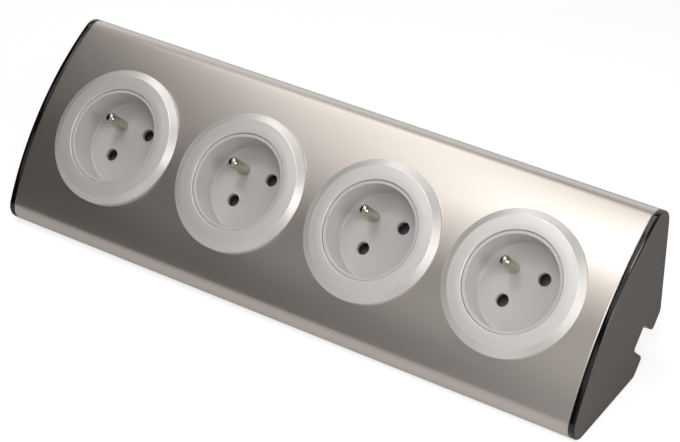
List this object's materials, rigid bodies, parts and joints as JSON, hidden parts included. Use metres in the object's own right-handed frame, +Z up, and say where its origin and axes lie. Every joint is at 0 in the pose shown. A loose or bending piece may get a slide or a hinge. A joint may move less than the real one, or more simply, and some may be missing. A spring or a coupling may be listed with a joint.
{
  "type": "worktop socket unit",
  "caption": "Corner-mounted power outlet bar: bulged brushed steel cover, round sunk sockets with raised surrounds and earth pins, black end caps and a rear cable channel.",
  "frame": {"origin": "on the worktop, under the middle of the unit's box", "axes": "+X along the unit to the right as seen from the front, +Y back to the wall, +Z up; the socket face looks along (0, -1, 1)"},
  "size_m": [0.2826, 0.0724, 0.0724],
  "materials": {
    "brushed_steel": "satin brushed stainless steel",
    "cap_plastic": "black moulded, glossy edge",
    "profile_plastic": "black, extruded",
    "bezel_plastic": "satin off-white",
    "well_plastic": "pale grey moulded",
    "carrier_plastic": "dark grey moulded",
    "shutter_plastic": "near-black moulded",
    "terminal_plastic": "pale grey moulded",
    "spring_steel": "bright spring steel",
    "pin_plating": "nickel plated",
    "contact_brass": "bright strip",
    "screw_steel": "zinc plated",
    "bushing_rubber": "black"
  },
  "bodies": {
    "housing": {"front_cover": "brushed_steel", "base_profile": "profile_plastic", "end_cap_left": "cap_plastic", "end_cap_right": "cap_plastic", "socket_1_bezel": "bezel_plastic", "socket_1_well": "well_plastic", "socket_1_carrier": "carrier_plastic", "socket_1_back_plate": "carrier_plastic", "socket_1_shutter_spring": "spring_steel", "socket_1_earth_pin": "pin_plating", "socket_1_line_contact": "contact_brass", "socket_1_neutral_contact": "contact_brass", "socket_2_bezel": "bezel_plastic", "socket_2_well": "well_plastic", "socket_2_carrier": "carrier_plastic", "socket_2_back_plate": "carrier_plastic", "socket_2_shutter_spring": "spring_steel", "socket_2_earth_pin": "pin_plating", "socket_2_line_contact": "contact_brass", "socket_2_neutral_contact": "contact_brass", "socket_3_bezel": "bezel_plastic", "socket_3_well": "well_plastic", "socket_3_carrier": "carrier_plastic", "socket_3_back_plate": "carrier_plastic", "socket_3_shutter_spring": "spring_steel", "socket_3_earth_pin": "pin_plating", "socket_3_line_contact": "contact_brass", "socket_3_neutral_contact": "contact_brass", "socket_4_bezel": "bezel_plastic", "socket_4_well": "well_plastic", "socket_4_carrier": "carrier_plastic", "socket_4_back_plate": "carrier_plastic", "socket_4_shutter_spring": "spring_steel", "socket_4_earth_pin": "pin_plating", "socket_4_line_contact": "contact_brass", "socket_4_neutral_contact": "contact_brass", "line_bar": "contact_brass", "neutral_bar": "contact_brass", "earth_bar": "contact_brass", "cover_earth_strap": "contact_brass", "terminal_screws": "screw_steel", "terminal_block": "terminal_plastic", "cable_bushing": "bushing_rubber"},
    "shutter_1": {"socket_1_shutter": "shutter_plastic"},
    "shutter_2": {"socket_2_shutter": "shutter_plastic"},
    "shutter_3": {"socket_3_shutter": "shutter_plastic"},
    "shutter_4": {"socket_4_shutter": "shutter_plastic"}
  },
  "joints": [
    {"name": "socket_1_shutter_slide", "type": "slide", "parent": "housing", "child": "shutter_1", "axis": [0.7071, -0.5, -0.5], "range_m": [0, 0.0062], "stiffness_N_per_m": 150, "springref_m": -0.004, "deforming": ["socket_1_shutter_spring"]},
    {"name": "socket_2_shutter_slide", "type": "slide", "parent": "housing", "child": "shutter_2", "axis": [0.7071, -0.5, -0.5], "range_m": [0, 0.0062], "stiffness_N_per_m": 150, "springref_m": -0.004, "deforming": ["socket_2_shutter_spring"]},
    {"name": "socket_3_shutter_slide", "type": "slide", "parent": "housing", "child": "shutter_3", "axis": [0.7071, -0.5, -0.5], "range_m": [0, 0.0062], "stiffness_N_per_m": 150, "springref_m": -0.004, "deforming": ["socket_3_shutter_spring"]},
    {"name": "socket_4_shutter_slide", "type": "slide", "parent": "housing", "child": "shutter_4", "axis": [0.7071, -0.5, -0.5], "range_m": [0, 0.0062], "stiffness_N_per_m": 150, "springref_m": -0.004, "deforming": ["socket_4_shutter_spring"]}
  ]
}
